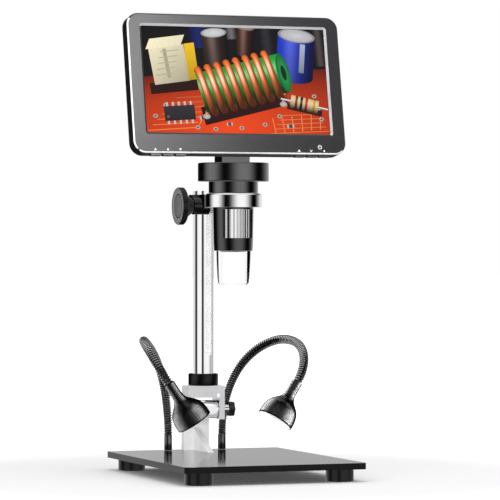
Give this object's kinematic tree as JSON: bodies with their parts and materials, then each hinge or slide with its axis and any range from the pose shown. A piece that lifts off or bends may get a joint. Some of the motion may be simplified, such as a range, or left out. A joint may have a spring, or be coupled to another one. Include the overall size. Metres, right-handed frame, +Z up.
{
  "type": "desk digital microscope",
  "caption": "Digital microscope with its own tilting screen on a toothed column over a flat base plate, lit by lamps on goosenecks.",
  "frame": {"origin": "on the desk under the centre of the base plate, on the optical axis of the camera head", "axes": "+Z up along the optical axis, +X to the user's right, +Y to the back where the column stands"},
  "size_m": [0.18, 0.2, 0.3699],
  "materials": {
    "plate_paint": "semi-gloss grey-black enamel",
    "foot_rubber": "matt black rubber",
    "zinc_steel": "bright zinc",
    "polished_aluminium": "polished and lightly blasted",
    "moulded_black": "moulded, fine texture",
    "bright_steel": "polished",
    "black_anodised": "satin black anodised",
    "column_chrome": "polished chrome",
    "ring_chrome": "polished chrome",
    "knob_grey": "satin grey",
    "barrel_black": "satin gloss black",
    "circuit_board": "solder mask",
    "white_board": "white solder mask",
    "clear_plastic": "clear polished plastic",
    "lens_glass": "coated glass",
    "bezel_grey": "satin dark grey",
    "case_black": "fine moulded texture",
    "screen_glass": "glossy display glass",
    "cell_foil": "foil pouch",
    "button_grey": "satin",
    "hose_black": "satin black",
    "lamp_black": "satin gloss black",
    "lamp_white": "frosted white"
  },
  "bodies": {
    "base": {"base_plate": "plate_paint", "feet": "foot_rubber", "foot_screws": "zinc_steel", "pedestal": "polished_aluminium", "pedestal_screws": "zinc_steel", "lamp_gland": "moulded_black"},
    "tilt_clamp": {"tilt_screw": "bright_steel", "tilt_knob": "moulded_black"},
    "column": {"yoke": "polished_aluminium", "collar": "black_anodised", "column": "column_chrome", "rack": "zinc_steel", "column_bolt": "zinc_steel"},
    "carriage": {"carriage": "black_anodised", "head_ring": "ring_chrome", "ring_screws": "zinc_steel"},
    "focus_drive": {"focus_knob": "moulded_black", "knob_face": "knob_grey", "focus_shaft": "zinc_steel", "pinion": "zinc_steel"},
    "head": {"head_housing": "black_anodised", "head_lid": "black_anodised", "barrel": "barrel_black", "nose_ring": "barrel_black", "sensor_board": "circuit_board", "led_board": "white_board", "clear_tip": "clear_plastic", "hinge_block": "black_anodised", "hinge_pin": "zinc_steel", "block_screws": "zinc_steel"},
    "focus_sleeve": {"focus_ring": "ring_chrome"},
    "lens_cell": {"lens_tube": "moulded_black", "front_lens": "lens_glass", "rear_lens": "lens_glass"},
    "screen": {"front_bezel": "bezel_grey", "rear_cover": "case_black", "lcd_panel": "screen_glass", "main_board": "circuit_board", "charge_socket": "zinc_steel", "battery": "cell_foil", "button_board": "circuit_board", "case_screws": "zinc_steel"},
    "button_up_key": {"button_up": "button_grey"},
    "button_ok_key": {"button_ok": "button_grey"},
    "button_down_key": {"button_down": "button_grey"},
    "button_snap_key": {"button_snap": "button_grey"},
    "button_menu_key": {"button_menu": "button_grey"},
    "button_power_key": {"button_power": "button_grey"},
    "gooseneck_left_base": {"gooseneck_left_lower": "hose_black"},
    "gooseneck_left_end": {"gooseneck_left_upper": "hose_black"},
    "lamp_left": {"lamp_left_shell": "lamp_black", "lamp_left_diffuser": "lamp_white", "lamp_left_board": "white_board"},
    "gooseneck_right_base": {"gooseneck_right_lower": "hose_black"},
    "gooseneck_right_end": {"gooseneck_right_upper": "hose_black"},
    "lamp_right": {"lamp_right_shell": "lamp_black", "lamp_right_diffuser": "lamp_white", "lamp_right_board": "white_board"}
  },
  "joints": [
    {"name": "column_tilt", "type": "hinge", "parent": "base", "child": "column", "pos_m": [0, 0.073, 0.0496], "axis": [-1, 0, 0], "range_deg": [0, 30]},
    {"name": "tilt_clamp_turn", "type": "hinge", "parent": "column", "child": "tilt_clamp", "pos_m": [0, 0.073, 0.0496], "axis": [1, 0, 0], "range_deg": [-180, 180]},
    {"name": "carriage_lift", "type": "slide", "parent": "column", "child": "carriage", "axis": [0, 0, 1], "range_m": [-0.11, 0.003]},
    {"name": "focus_knob_turn", "type": "hinge", "parent": "carriage", "child": "focus_drive", "pos_m": [0, 0.0605, 0.2169], "axis": [1, 0, 0], "range_deg": [-37, 1315]},
    {"name": "head_turn", "type": "hinge", "parent": "carriage", "child": "head", "pos_m": [0, 0, 0.22], "axis": [0, 0, 1], "range_deg": [-60, 60]},
    {"name": "fine_focus_turn", "type": "hinge", "parent": "head", "child": "focus_sleeve", "pos_m": [0, 0, 0.2], "axis": [0, 0, 1], "range_deg": [-120, 120]},
    {"name": "lens_travel", "type": "slide", "parent": "head", "child": "lens_cell", "axis": [0, 0, 1], "range_m": [-0.0021, 0.0021]},
    {"name": "screen_tilt", "type": "hinge", "parent": "head", "child": "screen", "pos_m": [0, 0.003, 0.2631], "axis": [-1, 0, 0], "range_deg": [-10.9, 35]},
    {"name": "button_up_press", "type": "slide", "parent": "screen", "child": "button_up_key", "axis": [0, 0.1891, 0.982], "range_m": [0, 0.0008], "stiffness_N_per_m": 600, "springref_m": -0.0005},
    {"name": "button_ok_press", "type": "slide", "parent": "screen", "child": "button_ok_key", "axis": [0, 0.1891, 0.982], "range_m": [0, 0.0008], "stiffness_N_per_m": 600, "springref_m": -0.0005},
    {"name": "button_down_press", "type": "slide", "parent": "screen", "child": "button_down_key", "axis": [0, 0.1891, 0.982], "range_m": [0, 0.0008], "stiffness_N_per_m": 600, "springref_m": -0.0005},
    {"name": "button_snap_press", "type": "slide", "parent": "screen", "child": "button_snap_key", "axis": [0, 0.1891, 0.982], "range_m": [0, 0.0008], "stiffness_N_per_m": 600, "springref_m": -0.0005},
    {"name": "button_menu_press", "type": "slide", "parent": "screen", "child": "button_menu_key", "axis": [0, 0.1891, 0.982], "range_m": [0, 0.0008], "stiffness_N_per_m": 600, "springref_m": -0.0005},
    {"name": "button_power_press", "type": "slide", "parent": "screen", "child": "button_power_key", "axis": [0, 0.1891, 0.982], "range_m": [0, 0.0008], "stiffness_N_per_m": 600, "springref_m": -0.0005},
    {"name": "gooseneck_left_swing", "type": "hinge", "parent": "base", "child": "gooseneck_left_base", "pos_m": [-0.0236, 0.0935, 0.015], "axis": [0, 0, -1], "range_deg": [-8, 25]},
    {"name": "gooseneck_left_bend", "type": "hinge", "parent": "gooseneck_left_base", "child": "gooseneck_left_end", "pos_m": [-0.0608, 0.0454, 0.1075], "axis": [-1, 0, 0], "range_deg": [-10, 30]},
    {"name": "lamp_left_nod", "type": "hinge", "parent": "gooseneck_left_end", "child": "lamp_left", "pos_m": [-0.0548, -0.0012, 0.0748], "axis": [0, -1, 0], "range_deg": [-20, 20]},
    {"name": "gooseneck_right_swing", "type": "hinge", "parent": "base", "child": "gooseneck_right_base", "pos_m": [0.0236, 0.0935, 0.015], "axis": [0, 0, 1], "range_deg": [-8, 25]},
    {"name": "gooseneck_right_bend", "type": "hinge", "parent": "gooseneck_right_base", "child": "gooseneck_right_end", "pos_m": [0.0608, 0.0454, 0.1075], "axis": [-1, 0, 0], "range_deg": [-10, 30]},
    {"name": "lamp_right_nod", "type": "hinge", "parent": "gooseneck_right_end", "child": "lamp_right", "pos_m": [0.0548, -0.0012, 0.0748], "axis": [0, 1, 0], "range_deg": [-20, 20]}
  ],
  "couplings": [
    {"joint": "focus_knob_turn", "follows": "carriage_lift", "rad_per_m": -208.33},
    {"joint": "lens_travel", "follows": "fine_focus_turn", "m_per_rad": 0.00095}
  ]
}
